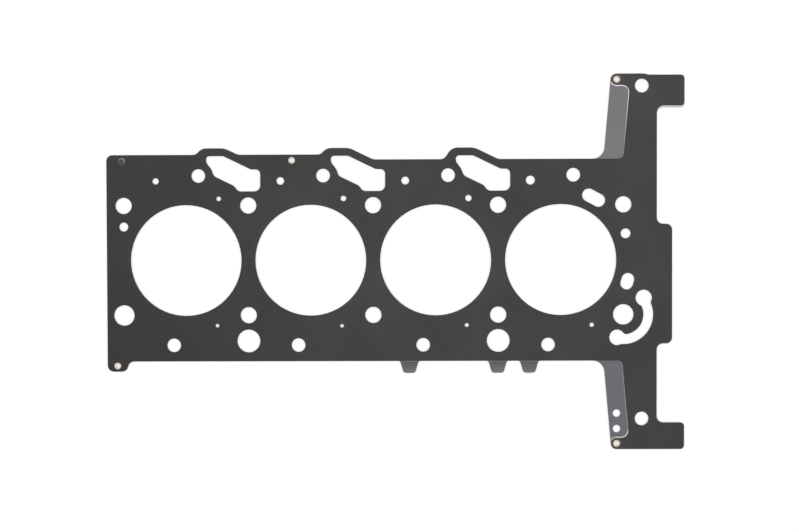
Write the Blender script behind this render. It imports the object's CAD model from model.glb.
import math

import bmesh
import bpy
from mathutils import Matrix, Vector


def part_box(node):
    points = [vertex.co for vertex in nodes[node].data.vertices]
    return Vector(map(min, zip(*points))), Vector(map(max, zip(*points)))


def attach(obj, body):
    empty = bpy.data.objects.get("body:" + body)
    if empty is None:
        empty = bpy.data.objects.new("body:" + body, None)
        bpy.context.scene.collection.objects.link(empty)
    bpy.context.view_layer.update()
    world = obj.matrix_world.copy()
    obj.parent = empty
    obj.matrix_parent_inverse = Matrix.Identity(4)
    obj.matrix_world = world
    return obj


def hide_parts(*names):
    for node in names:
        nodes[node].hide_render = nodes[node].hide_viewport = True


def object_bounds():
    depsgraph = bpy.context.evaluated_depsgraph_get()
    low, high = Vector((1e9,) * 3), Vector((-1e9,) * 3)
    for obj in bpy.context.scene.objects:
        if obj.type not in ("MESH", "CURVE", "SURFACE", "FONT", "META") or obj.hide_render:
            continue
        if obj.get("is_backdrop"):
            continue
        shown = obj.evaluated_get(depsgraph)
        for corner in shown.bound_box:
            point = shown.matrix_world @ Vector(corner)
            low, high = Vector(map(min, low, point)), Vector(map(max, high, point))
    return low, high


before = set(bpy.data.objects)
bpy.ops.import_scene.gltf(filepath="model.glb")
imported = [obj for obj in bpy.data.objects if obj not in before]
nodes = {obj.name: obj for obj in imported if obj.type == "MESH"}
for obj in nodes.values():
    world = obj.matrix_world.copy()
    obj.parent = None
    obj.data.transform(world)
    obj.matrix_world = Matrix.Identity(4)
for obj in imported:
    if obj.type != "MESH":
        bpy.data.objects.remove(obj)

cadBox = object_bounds()
print("frame loaded:", ", ".join(sorted(nodes)))

# Heights of the stack, read from the frame
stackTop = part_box("coated_sheet")[1].z
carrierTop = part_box("carrier_sheet")[1].z

noiseSpan = (0.3, 0.7)   # most values of a noise lie between these


# Node helpers

def newMaterial(name):
    material = bpy.data.materials.new(name)
    material.use_nodes = True
    material.node_tree.nodes.clear()
    return material


def addNode(material, kind, **values):
    node = material.node_tree.nodes.new(kind)
    for key, value in values.items():
        setattr(node, key, value)
    return node


def join(material, source, target):
    material.node_tree.links.new(source, target)


def shaderOf(material, **values):
    # a Principled shader with its output, and the sockets set by name
    shader = addNode(material, "ShaderNodeBsdfPrincipled")
    output = addNode(material, "ShaderNodeOutputMaterial")
    join(material, shader.outputs["BSDF"], output.inputs["Surface"])
    for key, value in values.items():
        shader.inputs[key].default_value = value
    return shader


def objectPoint(material, stretch=(1, 1, 1)):
    # object coordinates in metres, stretched for a grain that runs one way
    coordinates = addNode(material, "ShaderNodeTexCoord")
    mapping = addNode(material, "ShaderNodeMapping")
    mapping.inputs["Scale"].default_value = stretch
    join(material, coordinates.outputs["Object"], mapping.inputs["Vector"])
    return mapping.outputs["Vector"]


def splitPoint(material, point):
    split = addNode(material, "ShaderNodeSeparateXYZ")
    join(material, point, split.inputs["Vector"])
    return split.outputs


def noiseValue(material, point, grainSize, detail, roughness):
    # noise from 0 to 1 whose blobs are about grainSize metres across
    noise = addNode(material, "ShaderNodeTexNoise")
    noise.inputs["Scale"].default_value = 1 / grainSize
    noise.inputs["Detail"].default_value = detail
    noise.inputs["Roughness"].default_value = roughness
    join(material, point, noise.inputs["Vector"])
    return noise.outputs["Fac"]


def mapValue(material, value, fromLow, fromHigh, toLow, toHigh, smooth=False):
    node = addNode(material, "ShaderNodeMapRange")
    node.interpolation_type = "SMOOTHSTEP" if smooth else "LINEAR"
    node.inputs["From Min"].default_value = fromLow
    node.inputs["From Max"].default_value = fromHigh
    node.inputs["To Min"].default_value = toLow
    node.inputs["To Max"].default_value = toHigh
    join(material, value, node.inputs["Value"])
    return node.outputs["Result"]


def maths(material, operation, first, second):
    node = addNode(material, "ShaderNodeMath", operation=operation)
    for socket, value in zip(node.inputs, (first, second)):
        if isinstance(value, (int, float)):
            socket.default_value = value
        else:
            join(material, value, socket)
    return node.outputs["Value"]


def vectorMaths(material, operation, first, second=None):
    # a vector operation between a socket and a fixed vector
    node = addNode(material, "ShaderNodeVectorMath", operation=operation)
    join(material, first, node.inputs[0])
    if second is not None:
        node.inputs[1].default_value = second
    return node.outputs


def mixColour(material, factor, first, second):
    node = addNode(material, "ShaderNodeMix", data_type="RGBA")
    join(material, factor, node.inputs["Factor"])
    for name, value in (("A", first), ("B", second)):
        socket = next(s for s in node.inputs if s.name == name and s.type == "RGBA")
        if isinstance(value, tuple):
            socket.default_value = (*value, 1)
        else:
            join(material, value, socket)
    return next(s for s in node.outputs if s.type == "RGBA")


def mixValue(material, factor, first, second):
    node = addNode(material, "ShaderNodeMix", data_type="FLOAT")
    join(material, factor, node.inputs[0])
    for index, value in ((2, first), (3, second)):
        if isinstance(value, (int, float)):
            node.inputs[index].default_value = value
        else:
            join(material, value, node.inputs[index])
    return node.outputs[0]


def scaleColour(material, colour, factor):
    # a colour made lighter or darker by a value
    node = addNode(material, "ShaderNodeVectorMath", operation="SCALE")
    if isinstance(colour, tuple):
        node.inputs[0].default_value = colour
    else:
        join(material, colour, node.inputs[0])
    join(material, factor, node.inputs["Scale"])
    return node.outputs["Vector"]


def facing(material, low, high):
    # 0 where the surface's true normal has z under low, 1 where it is over high
    geometry = addNode(material, "ShaderNodeNewGeometry")
    height = splitPoint(material, geometry.outputs["True Normal"])["Z"]
    return mapValue(material, height, low, high, 0, 1)


def addBump(material, shader, height, depth):
    bump = addNode(material, "ShaderNodeBump")
    bump.inputs["Distance"].default_value = depth
    bump.inputs["Strength"].default_value = 1
    join(material, height, bump.inputs["Height"])
    join(material, bump.outputs["Normal"], shader.inputs["Normal"])


# Mesh helpers

def paint(obj, material):
    obj.data.materials.clear()
    obj.data.materials.append(material)


def finishPiece(name, mesh):
    data = bpy.data.meshes.new(name)
    mesh.to_mesh(data)
    mesh.free()
    for polygon in data.polygons:
        polygon.use_smooth = True
    obj = bpy.data.objects.new(name, data)
    bpy.context.scene.collection.objects.link(obj)
    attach(obj, "root")
    return obj


def centreOf(node):
    low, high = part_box(node)
    return (low + high) / 2


def topOf(node):
    # the middle of a fastener, at the height of the gasket's upper face
    centre = centreOf(node)
    return Vector((centre.x, centre.y, stackTop))


# Black coating

coating = {
    "nearTone": (0.0255, 0.0245, 0.0240),   # at the end away from the timing case
    "midTone": (0.0445, 0.0425, 0.0410),
    "farTone": (0.0405, 0.0380, 0.0385),    # at the timing case
    "middle": -0.03,        # x at which the coat looks lightest, m
    "lowTone": (0.0215, 0.0185, 0.0180),    # the near end towards the lug
    "lowReach": (0.02, -0.07),      # y between which it sets in, m
    "lowShade": 0.95,
    "footShade": 1.22,      # the upper foot is a little lighter
    "footReach": (0.085, 0.135),    # y between which that sets in, m
    "patch": 0.06,          # size of the faint tone patches, m
    "patchDepth": 0.20,     # how much darker their colour is
    "patchSpan": (0.35, 0.7),
    "patchShare": 0.5,      # how far a patch takes on its colour
    "gloss": (0.46, 0.58),
    "glossPatch": 0.015,    # size of the duller and shinier spots, m
    "specular": 0.35,
    "grain": 0.00035,       # orange peel of the rolled-on coat, m
    "grainDepth": 0.000016,
    "speckle": (0.92, 1.08),        # how far the grain moves the tone
    "halo": (0.088, 0.067, 0.053),  # brown stain baked in round the legs' eyelets
    "haloReach": (0.0026, 0.0052),  # distance over which it fades out, m
    "haloShare": 0.8,
    "cutTone": (0.90, 0.88, 0.87),  # bright steel where the press cut the sheet
    "cutGloss": 0.45,
    "coatedSlope": (0.5, 0.8),      # z of the normal between which wall turns to coated face
}


def coatingLook(material, point):
    # tone, roughness and bump height of the coat
    parts = splitPoint(material, point)
    near = mapValue(material, parts["X"], cadBox[0].x, coating["middle"], 0, 1)
    far = mapValue(material, parts["X"], coating["middle"], cadBox[1].x, 0, 1)
    low = mapValue(material, parts["Y"], *coating["lowReach"], 0, 1)
    tone = mixColour(material, low, coating["nearTone"], coating["lowTone"])
    tone = mixColour(material, near, tone, coating["midTone"])
    tone = mixColour(material, far, tone, coating["farTone"])

    grain = noiseValue(material, point, coating["grain"], detail=2, roughness=0.6)
    shade = maths(material, "MULTIPLY",
                  mapValue(material, low, 0, 1, 1, coating["lowShade"]),
                  mapValue(material, parts["Y"], *coating["footReach"], 1, coating["footShade"]))
    speckle = mapValue(material, grain, *noiseSpan, *coating["speckle"])
    tone = scaleColour(material, tone, maths(material, "MULTIPLY", shade, speckle))

    patch = noiseValue(material, point, coating["patch"], detail=4, roughness=0.55)
    patched = mapValue(material, patch, *coating["patchSpan"], coating["patchShare"], 0)
    darker = tuple(c * (1 - coating["patchDepth"]) for c in coating["nearTone"])
    tone = mixColour(material, patched, tone, darker)

    spots = noiseValue(material, point, coating["glossPatch"], detail=5, roughness=0.6)
    rough = mapValue(material, spots, *noiseSpan, *coating["gloss"])
    return tone, rough, grain


def coatedMaterial(stainedPlaces):
    # the coat on the faces, and bright steel on the walls
    material = newMaterial("blackCoat")
    shader = shaderOf(material, **{"Specular IOR Level": coating["specular"]})
    point = objectPoint(material)
    tone, rough, grain = coatingLook(material, point)
    for place in stainedPlaces:
        away = vectorMaths(material, "DISTANCE", point, place)["Value"]
        stain = mapValue(material, away, *coating["haloReach"], coating["haloShare"], 0, smooth=True)
        tone = mixColour(material, stain, tone, coating["halo"])
    coated = facing(material, *coating["coatedSlope"])
    join(material, mixColour(material, coated, coating["cutTone"], tone), shader.inputs["Base Color"])
    join(material, mixValue(material, coated, coating["cutGloss"], rough), shader.inputs["Roughness"])
    join(material, mixValue(material, coated, 1.0, 0.0), shader.inputs["Metallic"])
    addBump(material, shader, grain, coating["grainDepth"])
    return material


# Bare carrier steel

steel = {
    "upperTone": (0.250, 0.245, 0.256),   # upper leg
    "lowerTone": (0.212, 0.199, 0.225),   # lower leg, a little darker and bluer
    "toneReach": (-0.08, 0.08),     # y between which one turns to the other, m
    "tabTone": (0.226, 0.220, 0.220),
    "tabLimit": 0.15,       # x under which only the tabs are bare, m
    "tabLine": -0.0792,     # y under which they show, m
    "tabReach": (-0.0790, -0.0880),
    "tabShade": (0.66, 1.10),       # at a tab's root and at its tip
    "footRim": 0.222,       # x past which only the upper foot's rim is bare, m
    "footShade": 2.35,
    "streak": 0.0009,       # width of the rolling lines, m
    "streakLength": 0.05,
    "streakDepth": 0.0000010,
    "streakShade": (0.98, 1.02),
    "cloud": 0.03,          # size of the faint clouds, m
    "cloudShade": (0.97, 1.03),
    "gloss": (0.36, 0.44),
    "specular": 0.5,
    "bareSlope": (-0.8, -0.5),      # z of the normal over which the steel is bare
}


def carrierMaterial():
    # bare steel above and on the walls, and the black coat on the hidden face
    material = newMaterial("bareSteel")
    shader = shaderOf(material, **{"Specular IOR Level": steel["specular"]})
    point = objectPoint(material)
    parts = splitPoint(material, point)
    alongRolling = objectPoint(material, (steel["streak"] / steel["streakLength"], 1, 1))
    streaks = noiseValue(material, alongRolling, steel["streak"], detail=4, roughness=0.6)
    clouds = noiseValue(material, point, steel["cloud"], detail=3, roughness=0.5)

    onTab = maths(material, "MULTIPLY",
                  maths(material, "LESS_THAN", parts["X"], steel["tabLimit"]),
                  maths(material, "LESS_THAN", parts["Y"], steel["tabLine"]))
    tabShade = mapValue(material, parts["Y"], *steel["tabReach"], *steel["tabShade"])
    shade = mixValue(material, onTab, 1.0, tabShade)
    onFootRim = maths(material, "MULTIPLY",
                      maths(material, "GREATER_THAN", parts["X"], steel["footRim"]),
                      maths(material, "GREATER_THAN", parts["Y"], 0.0))
    shade = mixValue(material, onFootRim, shade, steel["footShade"])
    for noise, depth in ((streaks, steel["streakShade"]), (clouds, steel["cloudShade"])):
        shade = maths(material, "MULTIPLY", shade, mapValue(material, noise, *noiseSpan, *depth))

    upper = mapValue(material, parts["Y"], *steel["toneReach"], 0, 1)
    tone = mixColour(material, upper, steel["lowerTone"], steel["upperTone"])
    tone = mixColour(material, onTab, tone, steel["tabTone"])
    tone = scaleColour(material, tone, shade)
    rough = mapValue(material, streaks, *noiseSpan, *steel["gloss"])
    coatTone, coatRough, _ = coatingLook(material, point)
    bare = facing(material, *steel["bareSlope"])
    join(material, mixColour(material, bare, coatTone, tone), shader.inputs["Base Color"])
    join(material, mixValue(material, bare, coatRough, rough), shader.inputs["Roughness"])
    join(material, bare, shader.inputs["Metallic"])
    addBump(material, shader, streaks, steel["streakDepth"])
    return material


# Bright lips along the coated sheet's cut edge, where it ends on the carrier

cutEdge = {
    "width": 0.00048,       # along the legs and over the tabs, m
    "noseWidth": 0.00082,   # round the noses at the legs' ends
    "legFrom": 0.080,       # distance from the middle line at which a leg begins, m
    "noseFrom": (0.1335, 0.1362),   # and over which its nose begins
    "lift": 0.00004,        # gap to the sheet's own wall
    "footing": 0.00001,     # gap to the carrier
    "steps": 6,             # round the lip's section
    "taper": 0.0012,        # length over which each end of a lip runs out, m
    "taperPoints": (0, 0.15, 0.35, 0.6, 1),
    "taperLimit": 0.9,      # the most that it takes of a path's end stretch
    "endWidth": 0.1,        # share of the width that is left at the very end
    "metal": 0.5,
    "gloss": (0.39, 0.55),
    "marks": 0.0012,        # size of the press marks, m
    "marksSpan": (0.35, 0.65),
    "marksShade": (0.82, 1.0),
    "marksDepth": 0.00001,
    "legShine": (0.25, 1.0),        # upper leg, at the body and at the nose
    "lowerLegShine": (0.36, 0.40),
    "noseShine": 1.0,
    "lowerNoseShine": 0.80,
    "tabShine": 0.34,
    "sideReach": (-0.01, 0.01),     # y between which the lower side turns to the upper, m
    "across": (0.1803, 0.2012),     # x that both legs' cut edges keep to, m
    "upperLeg": {"side": 1, "reach": (0.0785, 0.1444), "noseEnd": (0.1865, 0.1390)},
    "lowerLeg": {"side": -1, "reach": (0.0790, 0.1485), "noseEnd": (0.1865, 0.1425)},
    "noseSlope": 9,         # how steeply the line leans that ends a nose
    "footAcross": (0.2245, 0.2425),
    "footReach": (0.1195, 0.1208),
    "tabs": (0.0282, 0.09755, 0.1223),      # middles of the three tabs, m
    "tabRoot": 0.0150,      # width of a tab at its root, m
    "tabSteps": 8,
}


def edgeMaterial():
    # dullest at the body, brighter along the leg and brightest round the nose
    material = newMaterial("cutEdge")
    shader = shaderOf(material, **{"Metallic": cutEdge["metal"]})
    point = objectPoint(material)
    parts = splitPoint(material, point)
    marks = noiseValue(material, point, cutEdge["marks"], detail=3, roughness=0.6)
    reach = maths(material, "ABSOLUTE", parts["Y"], 0)
    upper = mapValue(material, parts["Y"], *cutEdge["sideReach"], 0, 1)

    legSpan = (cutEdge["legFrom"], cutEdge["noseFrom"][0])
    leg = mixValue(material, upper,
                   mapValue(material, reach, *legSpan, *cutEdge["lowerLegShine"]),
                   mapValue(material, reach, *legSpan, *cutEdge["legShine"]))
    onTab = maths(material, "LESS_THAN", parts["X"], steel["tabLimit"])
    leg = mixValue(material, onTab, leg, cutEdge["tabShine"])
    nose = mixValue(material, upper, cutEdge["lowerNoseShine"], cutEdge["noseShine"])
    onNose = mapValue(material, reach, *cutEdge["noseFrom"], 0, 1, smooth=True)
    onFoot = maths(material, "GREATER_THAN", parts["X"], steel["footRim"])
    shine = mixValue(material, maths(material, "MAXIMUM", onNose, onFoot), leg, nose)
    marksShade = mapValue(material, marks, *cutEdge["marksSpan"], *cutEdge["marksShade"])
    shine = maths(material, "MULTIPLY", shine, marksShade)

    join(material, scaleColour(material, coating["cutTone"], shine), shader.inputs["Base Color"])
    join(material, mapValue(material, marks, *noiseSpan, *cutEdge["gloss"]), shader.inputs["Roughness"])
    addBump(material, shader, marks, cutEdge["marksDepth"])
    return material


def loopLength(loop):
    return sum((loop[i] - loop[i - 1]).length for i in range(len(loop)))


def outerLoop(node):
    # the points round a sheet's upper face, in order
    weldReach, levelNormal, levelSlack = 1e-7, 0.999, 1e-5
    mesh = bmesh.new()
    mesh.from_mesh(nodes[node].data)
    mesh.transform(nodes[node].matrix_world)
    bmesh.ops.remove_doubles(mesh, verts=mesh.verts, dist=weldReach)
    for face in mesh.faces:
        level = face.normal.z > levelNormal
        face.tag = level and face.calc_center_median().z > stackTop - levelSlack
    rim = {}
    for edge in mesh.edges:
        if sum(face.tag for face in edge.link_faces) == 1:
            first, second = edge.verts
            rim.setdefault(first, []).append(second)
            rim.setdefault(second, []).append(first)
    loops = []
    left = dict.fromkeys(rim)
    while left:
        here = next(iter(left))
        loop = []
        while here is not None:
            del left[here]
            loop.append(here.co.copy())
            here = next((point for point in rim[here] if point in left), None)
        loops.append(loop)
    mesh.free()
    return max(loops, key=loopLength)


def outwardSide(loop):
    # 1 where the loop runs counter-clockwise seen from above, -1 where it runs clockwise
    area = sum(a.x * b.y - b.x * a.y for a, b in zip(loop[-1:] + loop, loop))
    return 1 if area > 0 else -1


def lowerEdgeHeight(loop):
    # y of the longest straight stretch below the middle line
    stretch = [i for i in range(len(loop)) if loop[i].y < 0]
    return loop[max(stretch, key=lambda i: (loop[i] - loop[i - 1]).length)].y


def stretches(loop, wanted):
    # the runs of a closed loop on which every point passes the test
    count = len(loop)
    start = next(i for i in range(count) if not wanted(loop[i]))
    runs = [[]]
    for i in range(count):
        point = loop[(start + i) % count]
        if wanted(point):
            runs[-1].append(point)
        elif runs[-1]:
            runs.append([])
    return [run for run in runs if len(run) > 1]


def onLeg(point, leg):
    # whether a point of the outline lies on the cut edge beside a leg's bare strip
    out = point.y * leg["side"]
    endX, endOut = leg["noseEnd"]
    return (cutEdge["across"][0] < point.x < cutEdge["across"][1]
            and leg["reach"][0] < out < leg["reach"][1]
            and point.x < endX + (endOut - out) * cutEdge["noseSlope"])


def onUpperLeg(point):
    return onLeg(point, cutEdge["upperLeg"])


def onLowerLeg(point):
    return onLeg(point, cutEdge["lowerLeg"])


def onFootEdge(point):
    return (cutEdge["footAcross"][0] < point.x < cutEdge["footAcross"][1]
            and cutEdge["footReach"][0] < point.y < cutEdge["footReach"][1])


def lipWidth(point, fromEnd):
    # wider round the noses, and running out at both ends of the lip
    low, high = cutEdge["noseFrom"]
    along = min(max((abs(point.y) - low) / (high - low), 0), 1)
    full = cutEdge["width"] + (cutEdge["noseWidth"] - cutEdge["width"]) * along
    end = cutEdge["endWidth"]
    return full * math.sin(math.pi / 2 * min(end + (1 - end) * fromEnd / cutEdge["taper"], 1))


def withEndPoints(path):
    # a path with more points near its ends, so that the lip can run out smoothly
    for _ in range(2):
        first, second = path[0], path[1]
        reach = min(cutEdge["taper"] / (second - first).length, cutEdge["taperLimit"])
        path = [first.lerp(second, reach * share) for share in cutEdge["taperPoints"]] + path[1:]
        path.reverse()
    return path


def cutLip(name, path, outward):
    # a quarter-round lip outside the sheet's wall, from its upper face down to the carrier
    bottom = carrierTop + cutEdge["footing"]
    height = stackTop - bottom
    steps = cutEdge["steps"]
    path = withEndPoints(path)
    reached = [0]
    for first, second in zip(path, path[1:]):
        reached.append(reached[-1] + (second - first).length)

    mesh = bmesh.new()
    rows = []
    for i, point in enumerate(path):
        ahead = path[min(i + 1, len(path) - 1)] - path[max(i - 1, 0)]
        side = Vector((ahead.y, -ahead.x, 0)).normalized() * outward
        width = lipWidth(point, min(reached[i], reached[-1] - reached[i]))
        section = []
        for k in range(steps + 1):
            turn = math.pi / 2 * k / steps
            section.append((cutEdge["lift"] + width * math.sin(turn), bottom + height * math.cos(turn)))
        section.append((cutEdge["lift"], bottom))
        rows.append([mesh.verts.new((point.x + side.x * across, point.y + side.y * across, z))
                     for across, z in section])
    size = steps + 2
    for first, second in zip(rows, rows[1:]):
        for k in range(size):
            after = (k + 1) % size
            mesh.faces.new((first[k], second[k], second[after], first[after]))
    mesh.faces.new(rows[0])
    mesh.faces.new(list(reversed(rows[-1])))
    bmesh.ops.recalc_face_normals(mesh, faces=mesh.faces)
    return finishPiece(name, mesh)


def tabPath(middle, height):
    # straight across a tab's root, at the coated sheet's lower edge
    start = middle - cutEdge["tabRoot"] / 2
    steps = cutEdge["tabSteps"]
    return [Vector((start + cutEdge["tabRoot"] * k / steps, height, stackTop)) for k in range(steps + 1)]


# Turned eyelets and the closed rivet

eyelet = {
    "tone": (0.78, 0.74, 0.65),
    "wornTone": (0.6084, 0.555, 0.455),
    "wallTone": (0.28, 0.24, 0.19),   # darker inside the barrel and under the lip
    "wallSlope": (0.05, 0.35),      # z of the normal between which wall turns to rim
    "metal": 0.55,
    "gloss": (0.28, 0.48),
    "marks": 0.0008,        # size of the press marks, m
    "marksDepth": 0.00001,
    "flare": 0.00264,       # radius of the rolled lip, m
    "barrel": 0.0016,       # radius of the open middle
    "shank": 0.00232,       # radius between the sheets
    "lipHeight": 0.00024,
    "lipSteps": 8,
    "barrelHeights": (0.6, 0.4),    # shares of the stack, from the top down
    "shankHeights": (0.4, 0.7),     # and from the bottom up
    "turns": 48,
}
rivet = {
    "rubbedTone": (0.86, 0.80, 0.80),       # where the rim is rubbed bright
    "coatTone": (0.070, 0.062, 0.062),      # the rest of the rim
    "cupTone": (0.080, 0.068, 0.068),
    "sootTone": (0.016, 0.014, 0.014),      # in the upper left of the cup
    "rubbedSide": (0.18, 0.98, 0),  # direction of the rubbed side, seen from above
    "rubbedSpan": (-0.25, 1.0),     # cosines from that side over which it sets in
    "sootSide": (-0.50, 0.86, 0),
    "sootSpan": (0.1, 0.8),
    "sootReach": (0.0006, 0.0016),  # distance from the middle over which it sets in, m
    "metal": 0.3,
    "gloss": 0.42,
    "marks": 0.0007,
    "marksShare": 0.2,      # how far the marks dull the tone
    "marksDepth": 0.00001,
    "rim": 0.00018,         # radius of the rolled rim, m
    "dish": 0.00232,        # radius at which the cup begins
    "dishLine": 0.0001,     # width over which the rim's tone turns to the cup's
    "dishDepth": 0.00030,
    "dishEdge": (0.00015, 0.00002),     # how far inside the dish's radius, and how high over its floor
    "dishLevel": 0.0006,    # how far inside that radius the floor is level
    "waist": 0.00232,       # radius between the sheets
    "waistHeight": 0.55,    # share of the stack
    "chamfer": 0.0001,
    "footing": 0.00002,     # height of its lower face over the block
}


def lathe(name, place, profile):
    # a closed ring or disc from (radius, height) points; a zero radius closes the middle
    turns = eyelet["turns"]
    mesh = bmesh.new()
    rings = []
    for radius, height in profile:
        if radius == 0:
            rings.append([mesh.verts.new((place.x, place.y, height))])
            continue
        rings.append([
            mesh.verts.new((place.x + radius * math.cos(turn), place.y + radius * math.sin(turn), height))
            for turn in (2 * math.pi * k / turns for k in range(turns))
        ])
    pairs = list(zip(rings, rings[1:]))
    if profile[0][0] and profile[-1][0]:
        pairs.append((rings[-1], rings[0]))
    for first, second in pairs:
        for k in range(turns):
            after = (k + 1) % turns
            corners = [first[k % len(first)], first[after % len(first)],
                       second[after % len(second)], second[k % len(second)]]
            mesh.faces.new(list(dict.fromkeys(corners)))
    bmesh.ops.recalc_face_normals(mesh, faces=mesh.faces)
    return finishPiece(name, mesh)


def arcPoints(centre, radii, start, end):
    # points of an ellipse arc in the section, from start to end degrees
    steps = eyelet["lipSteps"]
    points = []
    for k in range(steps + 1):
        turn = math.radians(start + (end - start) * k / steps)
        points.append((centre[0] + radii[0] * math.cos(turn), centre[1] + radii[1] * math.sin(turn)))
    return points


def eyeletMaterial():
    # pale pressed steel, darker on the walls
    material = newMaterial("paleEyelet")
    shader = shaderOf(material, **{"Metallic": eyelet["metal"]})
    point = objectPoint(material)
    marks = noiseValue(material, point, eyelet["marks"], detail=4, roughness=0.6)
    fresh = mapValue(material, marks, *noiseSpan, 0, 1)
    tone = mixColour(material, fresh, eyelet["wornTone"], eyelet["tone"])
    onRim = facing(material, *eyelet["wallSlope"])
    join(material, mixColour(material, onRim, eyelet["wallTone"], tone), shader.inputs["Base Color"])
    join(material, mapValue(material, marks, *noiseSpan, *eyelet["gloss"]), shader.inputs["Roughness"])
    addBump(material, shader, marks, eyelet["marksDepth"])
    return material


def rivetMaterial(place):
    # a coated cup whose rim is rubbed bright on one side
    material = newMaterial("rivetSteel")
    shader = shaderOf(material, **{"Metallic": rivet["metal"], "Roughness": rivet["gloss"]})
    point = objectPoint(material)
    marks = noiseValue(material, point, rivet["marks"], detail=4, roughness=0.6)
    offset = vectorMaths(material, "SUBTRACT", point, place)["Vector"]
    away = vectorMaths(material, "LENGTH", offset)["Value"]
    cosines = {}
    for side in ("rubbedSide", "sootSide"):
        toward = vectorMaths(material, "DOT_PRODUCT", offset, rivet[side])["Value"]
        cosines[side] = maths(material, "DIVIDE", toward, away)

    rubbed = mapValue(material, cosines["rubbedSide"], *rivet["rubbedSpan"], 0, 1)
    rim = mixColour(material, rubbed, rivet["coatTone"], rivet["rubbedTone"])
    soot = maths(material, "MULTIPLY",
                 mapValue(material, cosines["sootSide"], *rivet["sootSpan"], 0, 1, smooth=True),
                 mapValue(material, away, *rivet["sootReach"], 0, 1, smooth=True))
    cup = mixColour(material, soot, rivet["cupTone"], rivet["sootTone"])
    rimSpan = (rivet["dish"] - rivet["dishLine"], rivet["dish"])
    tone = mixColour(material, mapValue(material, away, *rimSpan, 0, 1, smooth=True), cup, rim)
    marked = mapValue(material, marks, *noiseSpan, rivet["marksShare"], 0)
    join(material, mixColour(material, marked, tone, rivet["coatTone"]), shader.inputs["Base Color"])
    addBump(material, shader, marks, rivet["marksDepth"])
    return material


def turnedEyelet(node):
    # flared over at both faces, with a rolled lip and an open barrel
    barrel = eyelet["barrel"]
    tall = eyelet["lipHeight"]
    lip = (eyelet["flare"] - barrel) / 2
    lipMiddle = eyelet["flare"] - lip
    profile = arcPoints((lipMiddle, stackTop - tall), (lip, tall), 0, 180)
    profile += [(barrel, stackTop * share) for share in eyelet["barrelHeights"]]
    profile += arcPoints((lipMiddle, tall), (lip, tall), 180, 360)
    profile += [(eyelet["shank"], stackTop * share) for share in eyelet["shankHeights"]]
    obj = lathe("turned_" + node, centreOf(node), profile)
    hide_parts(node)
    return obj


def turnedRivet(node):
    # a shallow dish with a rolled rim on the upper face, closed below
    flare, rim, dish = eyelet["flare"], rivet["rim"], rivet["dish"]
    chamfer, footing = rivet["chamfer"], rivet["footing"]
    floor = stackTop - rivet["dishDepth"]
    inside, above = rivet["dishEdge"]
    profile = [(0, footing), (flare - chamfer, footing), (flare, chamfer)]
    profile += [(rivet["waist"], stackTop * rivet["waistHeight"])]
    profile += arcPoints((flare - rim, stackTop - rim), (rim, rim), 0, 180)
    profile += [(dish - inside, floor + above), (dish - rivet["dishLevel"], floor), (0, floor)]
    obj = lathe("turned_" + node, centreOf(node), profile)
    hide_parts(node)
    return obj


# Build

stained = ("upper_case_eyelet", "lower_case_eyelet")
paint(nodes["coated_sheet"], coatedMaterial([topOf(node) for node in stained]))
paint(nodes["carrier_sheet"], carrierMaterial())
print("sheets painted")

outline = outerLoop("coated_sheet")
edgeLook = edgeMaterial()
for name, test in (("upperCutEdge", onUpperLeg), ("lowerCutEdge", onLowerLeg), ("footCutEdge", onFootEdge)):
    runs = stretches(outline, test)
    print(name, "points:", [len(run) for run in runs])
    for number, run in enumerate(runs, 1):
        paint(cutLip(name + str(number), run, outwardSide(outline)), edgeLook)
for number, middle in enumerate(cutEdge["tabs"], 1):
    path = tabPath(middle, lowerEdgeHeight(outline))
    paint(cutLip("tabCutEdge" + str(number), path, 1), edgeLook)
print("cut edges laid")

eyeletLook = eyeletMaterial()
for node in (*stained, "lug_eyelet", "bridge_eyelet"):
    paint(turnedEyelet(node), eyeletLook)
paint(turnedRivet("corner_rivet"), rivetMaterial(topOf("corner_rivet")))
print("eyelets turned")


# Floor, light and camera

studio = {
    "floorTone": (0.55, 0.55, 0.552),
    "floorGlow": 0.46,      # what the camera sees over the lit paper
    "paperGrain": 0.002,
    "paperShade": 0.985,    # how dark the grain gets
    "paperGloss": 0.8,
    "paperSpecular": 0.2,
    "floorReach": 4.0,      # half the floor's width, m
    "floorParts": 8,
    "floorGap": 0.00005,    # between the floor and the gasket
    "sky": 0.45,
}
lamps = {
    "key": {"place": (-2.4, 0.2, 2.3), "size": (2.0, 2.4), "power": 40.0},
    "fill": {"place": (2.4, 0.2, 2.3), "size": (2.0, 2.4), "power": 40.0},
    "upperEnd": {"place": (0.0, 2.2, 2.2), "size": (2.4, 1.2), "power": 14.0},
    "lowerEnd": {"place": (0.0, -2.2, 2.2), "size": (2.4, 1.2), "power": 14.0},
}
cameraView = {
    "place": (0.03415, 0.02429, 1.20042),
    "turn": (-1.3872, 0.6415, -0.1721),   # degrees about X, Y, Z
    "lens": 68.87,
    "sensor": 36,
    "farthest": 50,
}


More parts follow.
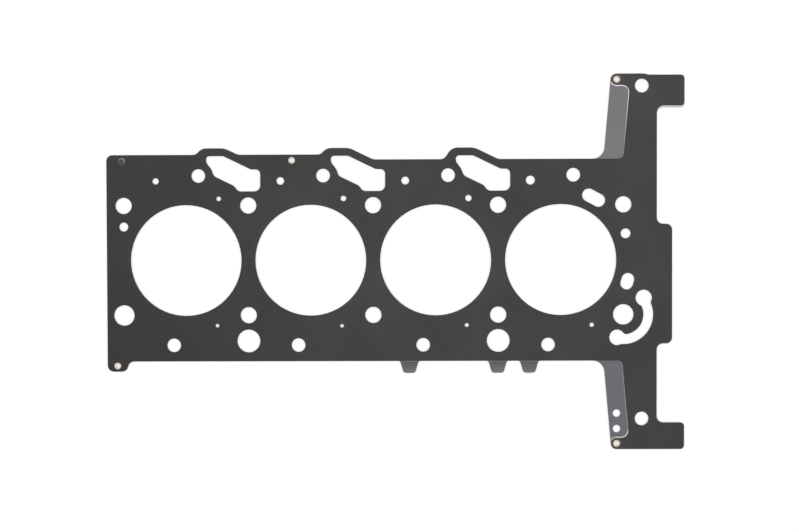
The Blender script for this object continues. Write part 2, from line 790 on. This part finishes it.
def floorMaterial():
    # pale paper that the camera sees lit a little further, with its shadows kept
    material = newMaterial("paleFloor")
    shader = shaderOf(material, **{"Roughness": studio["paperGloss"],
                                   "Specular IOR Level": studio["paperSpecular"]})
    paper = noiseValue(material, objectPoint(material), studio["paperGrain"], detail=3, roughness=0.6)
    dim = tuple(c * studio["paperShade"] for c in studio["floorTone"])
    join(material, mixColour(material, paper, dim, studio["floorTone"]), shader.inputs["Base Color"])
    rays = addNode(material, "ShaderNodeLightPath")
    seen = maths(material, "MAXIMUM", rays.outputs["Is Camera Ray"], rays.outputs["Is Glossy Ray"])
    seen = maths(material, "MAXIMUM", seen, rays.outputs["Is Transmission Ray"])
    glow = maths(material, "MULTIPLY", seen, studio["floorGlow"])
    shader.inputs["Emission Color"].default_value = (1, 1, 1, 1)
    join(material, glow, shader.inputs["Emission Strength"])
    return material


def makeFloor():
    mesh = bmesh.new()
    parts = studio["floorParts"]
    bmesh.ops.create_grid(mesh, x_segments=parts, y_segments=parts, size=studio["floorReach"])
    data = bpy.data.meshes.new("floor")
    mesh.to_mesh(data)
    mesh.free()
    obj = bpy.data.objects.new("floor", data)
    obj.location.z = cadBox[0].z - studio["floorGap"]
    bpy.context.scene.collection.objects.link(obj)
    paint(obj, floorMaterial())
    obj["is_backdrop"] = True


def makeWorld():
    world = bpy.data.worlds.new("studio")
    world.use_nodes = True
    bpy.context.scene.world = world
    background = world.node_tree.nodes["Background"]
    background.inputs["Color"].default_value = (1, 1, 1, 1)
    background.inputs["Strength"].default_value = studio["sky"]


def softLight(name, lamp):
    # a rectangular lamp that points at the gasket
    data = bpy.data.lights.new(name, "AREA")
    data.shape = "RECTANGLE"
    data.size, data.size_y = lamp["size"]
    data.energy = lamp["power"]
    obj = bpy.data.objects.new(name, data)
    obj.location = lamp["place"]
    obj.rotation_euler = (-Vector(lamp["place"])).to_track_quat("-Z", "Y").to_euler()
    bpy.context.scene.collection.objects.link(obj)


def makeCamera():
    data = bpy.data.cameras.new("camera")
    data.lens = cameraView["lens"]
    data.sensor_width = cameraView["sensor"]
    data.clip_end = cameraView["farthest"]
    obj = bpy.data.objects.new("camera", data)
    obj.location = cameraView["place"]
    obj.rotation_euler = [math.radians(turn) for turn in cameraView["turn"]]
    bpy.context.scene.collection.objects.link(obj)
    bpy.context.scene.camera = obj


makeFloor()
makeWorld()
for name, lamp in lamps.items():
    softLight(name, lamp)
makeCamera()
bpy.context.scene.view_settings.view_transform = "Standard"
print("studio set")

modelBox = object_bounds()
for title, box in (("CAD box", cadBox), ("model box", modelBox)):
    print(title, "in mm:", [round(v * 1000, 2) for corner in box for v in corner])
